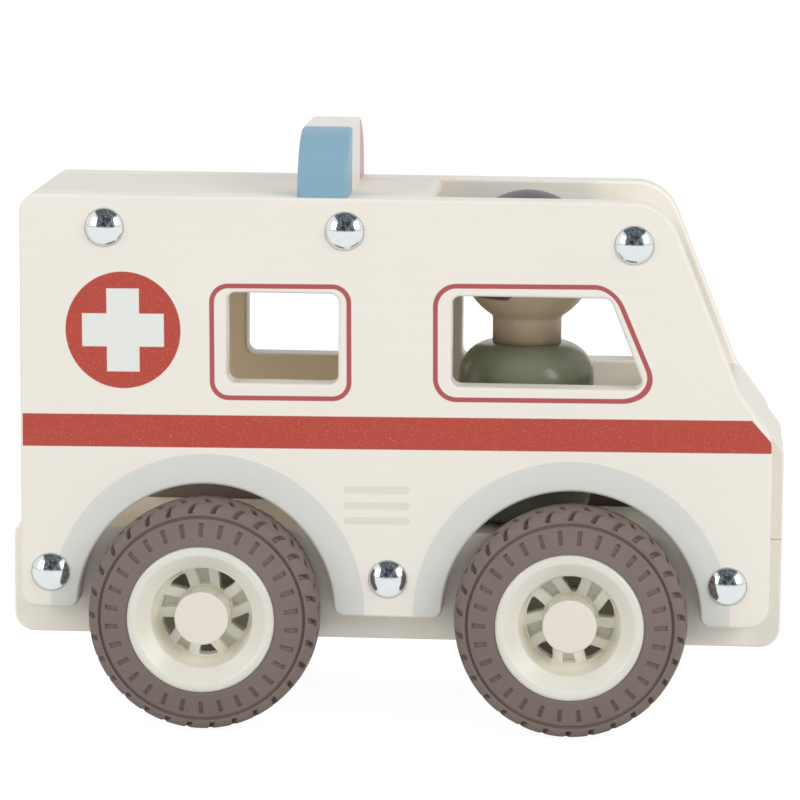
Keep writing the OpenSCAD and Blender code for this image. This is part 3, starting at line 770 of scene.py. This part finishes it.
floor_half, floor_glow, floor_lit, floor_seen = 3, 0.94, 0.8, 0.16
floor_paint = bpy.data.materials.new("white_floor")
floor_paint.use_nodes = True
tree = floor_paint.node_tree
seen = seen_rays(tree)
lit = seen.node("ShaderNodeBsdfDiffuse", {}, {"Color": (floor_lit, floor_lit, floor_lit, 1)})
shadow = seen.node("ShaderNodeBsdfDiffuse", {}, {"Color": (floor_seen, floor_seen, floor_seen, 1)})
glow = seen.node("ShaderNodeEmission", {}, {"Color": (1, 1, 1, 1), "Strength": floor_glow})
white = seen.node("ShaderNodeAddShader", {}, {0: shadow, 1: glow})
shown = seen.node("ShaderNodeMixShader", {}, {0: seen, 1: lit, 2: white})
tree.links.new(shown.socket, tree.nodes.new("ShaderNodeOutputMaterial").inputs["Surface"])
bm = bmesh.new()
bmesh.ops.create_grid(bm, x_segments=1, y_segments=1, size=floor_half)
studio_object("floor", bm, floor_paint)

sky_light = 0.48
surround = bpy.data.worlds.new("white_surround")
bpy.context.scene.world = surround
surround.use_nodes = True
tree = surround.node_tree
seen = seen_rays(tree)
shown = seen.node("ShaderNodeBackground", {}, {"Color": (1, 1, 1, 1), "Strength": seen * (1 - sky_light) + sky_light})
tree.links.new(shown.socket, tree.nodes.new("ShaderNodeOutputWorld").inputs["Surface"])

lamp_aim = Vector((0, 0, 0.07))
soft_box("left_box", (-1.45, -1.1, 0.75), 1.0, 12, (1, 1, 1))
soft_box("right_box", (1.45, -1.1, 0.9), 1.0, 17, (1, 1, 1))
soft_box("top_box", (0, 0.1, 1.7), 1.2, 5, (0.9, 0.97, 1))

# The dark room is a wall behind the camera with its ceiling, and a thin dark line right round the horizon.
# It shows only in reflections: a painted reflection, dark with paler patches, in the bolts and other glossy parts
wall_y, wall_low, room_h, room_back_y, horizon_r = -0.95, 0.11, 1.15, 0.55, 1.5
dark_paint, dark_shader, dark_place = new_finish("dark_room_painted_reflection")
painted_reflection_patches = dark_place.noise(0.006, 3.0).ramp(0.42, 0.66)
feed(dark_shader, base_color=painted_reflection_patches.mix(srgb(48, 52, 64), srgb(168, 180, 184)), roughness=1.0)
bm = bmesh.new()
wall = [[bm.verts.new((x, y, z)) for x in (-0.9, 1.0)]
        for y, z in ((wall_y, wall_low), (wall_y, room_h), (room_back_y, room_h))]
for (low_left, low_right), (high_left, high_right) in zip(wall, wall[1:]):
    bm.faces.new((low_left, low_right, high_right, high_left))
line = [bm.verts.new((0, horizon_r, z)) for z in (0.07, 0.1)]
bmesh.ops.spin(bm, geom=line + [bm.edges.new(line)], axis=(0, 0, 1), angle=2 * pi, steps=48, use_merge=True)
dark_room = studio_object("dark_room", bm, dark_paint)
dark_room.visible_camera = dark_room.visible_diffuse = dark_room.visible_shadow = False
dark_room.visible_transmission = dark_room.visible_volume_scatter = False
